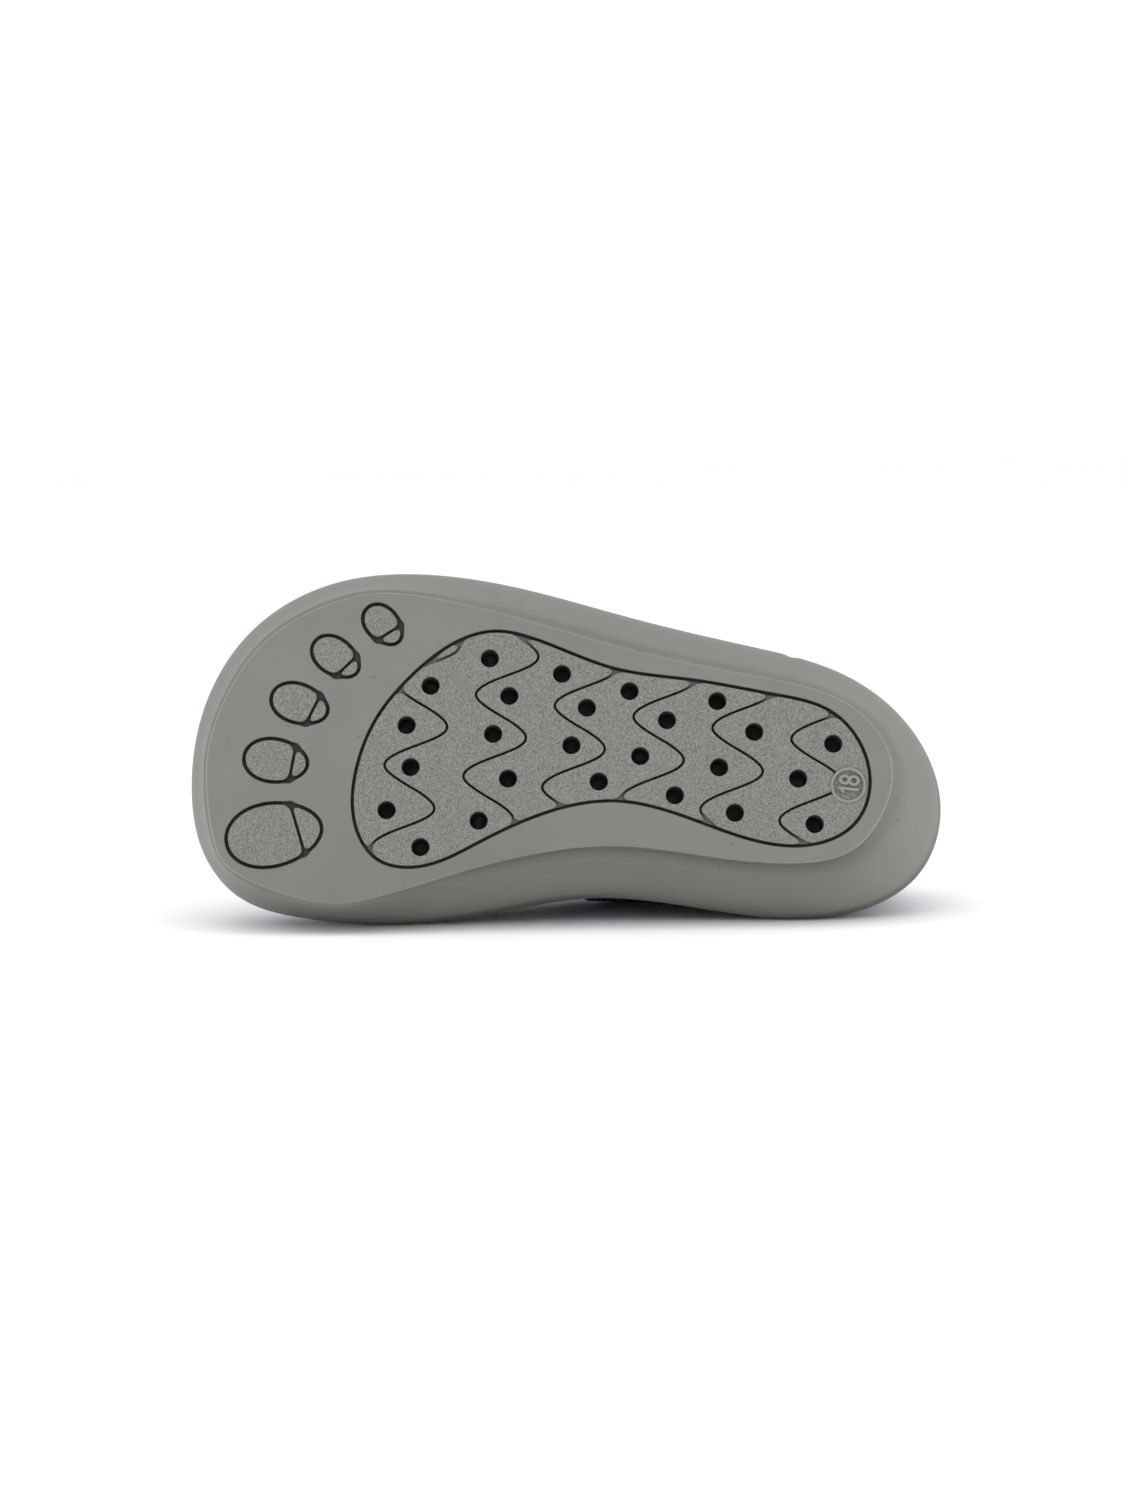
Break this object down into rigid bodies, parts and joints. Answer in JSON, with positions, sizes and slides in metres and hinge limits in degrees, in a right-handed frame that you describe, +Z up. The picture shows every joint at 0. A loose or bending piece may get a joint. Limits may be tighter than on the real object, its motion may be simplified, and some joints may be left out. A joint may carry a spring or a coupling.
{
  "type": "baby sneaker",
  "caption": "Baby sneaker for the left foot lying on its inner side: flared cup sole with a footprint tread, hollow upper, insole, tongue and strap.",
  "frame": {"origin": "bottom centre of the shoe's bounding box as it lies on its inner side", "axes": "+X from the toe to the heel, +Y from the tread towards the opening, +Z up from the floor towards the outer side of the shoe"},
  "size_m": [0.1284, 0.0672, 0.0593],
  "materials": {
    "sole": "matte moulded grey",
    "upper": "dyed indigo, fine grain",
    "insole": "plain grey textile",
    "tongue": "padded indigo fabric",
    "strap": "dyed indigo, fine grain"
  },
  "bodies": {
    "root": {"sole": "sole", "upper": "upper", "insole": "insole", "tongue": "tongue", "strap": "strap"}
  },
  "joints": []
}
